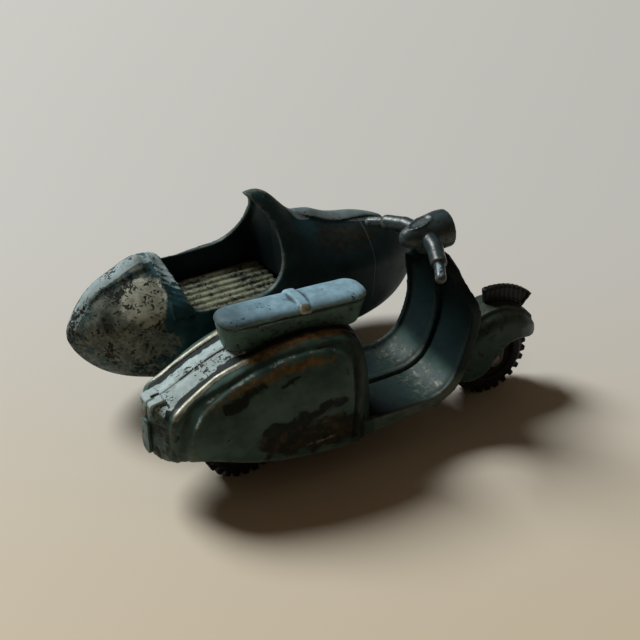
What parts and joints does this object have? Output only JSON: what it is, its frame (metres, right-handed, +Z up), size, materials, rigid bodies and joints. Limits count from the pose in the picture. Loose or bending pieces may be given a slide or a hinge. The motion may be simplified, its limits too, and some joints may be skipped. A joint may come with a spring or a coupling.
{
  "type": "die-cast toy scooter with sidecar",
  "caption": "Small die-cast toy motor scooter with bench seat, leg shield and a boat-shaped sidecar; every wheel rolls.",
  "frame": {"origin": "on the ground, under the middle of the whole toy's bounding box", "axes": "+X forward, +Y to the side the sidecar is on, +Z up"},
  "size_m": [0.0476, 0.0366, 0.0236],
  "materials": {
    "casting_paint": "worn gloss paint over zinc",
    "sidecar_paint": "worn gloss paint over zinc",
    "seat_paint": "worn gloss paint over zinc",
    "headset_metal": "paint worn to dull metal",
    "bench_metal": "paint worn to dull metal",
    "arm_metal": "satin",
    "black_plate": "satin black",
    "black_plastic": "matt black",
    "steel_pins": "satin"
  },
  "bodies": {
    "toy": {"scooter_right_half": "casting_paint", "scooter_left_half": "casting_paint", "body_dowels": "steel_pins", "bench_seat": "seat_paint", "headset": "headset_metal", "steering_stem": "steel_pins", "front_mudguard": "casting_paint", "front_number_plate": "black_plate", "tail_lamp": "casting_paint", "rear_number_plate": "casting_paint", "front_axle": "steel_pins", "rear_axle": "steel_pins", "sidecar_axle": "steel_pins", "sidecar_body": "sidecar_paint", "sidecar_base": "sidecar_paint", "sidecar_bench": "bench_metal", "front_sidecar_arm": "arm_metal", "rear_sidecar_arm": "arm_metal", "arm_rivets": "steel_pins", "base_rivets": "steel_pins"},
    "front_wheel": {"front_wheel": "black_plastic"},
    "rear_wheel": {"rear_wheel": "black_plastic"},
    "sidecar_wheel": {"sidecar_wheel": "black_plastic"}
  },
  "joints": [
    {"name": "front_wheel_spin", "type": "hinge", "parent": "toy", "child": "front_wheel", "pos_m": [0.01767, -0.01096, 0.00475], "axis": [0, 1, 0], "continuous": true},
    {"name": "rear_wheel_spin", "type": "hinge", "parent": "toy", "child": "rear_wheel", "pos_m": [-0.01253, -0.01096, 0.00475], "axis": [0, 1, 0], "continuous": true},
    {"name": "sidecar_wheel_spin", "type": "hinge", "parent": "toy", "child": "sidecar_wheel", "pos_m": [-0.00543, 0.01614, 0.00475], "axis": [0, 1, 0], "continuous": true}
  ]
}
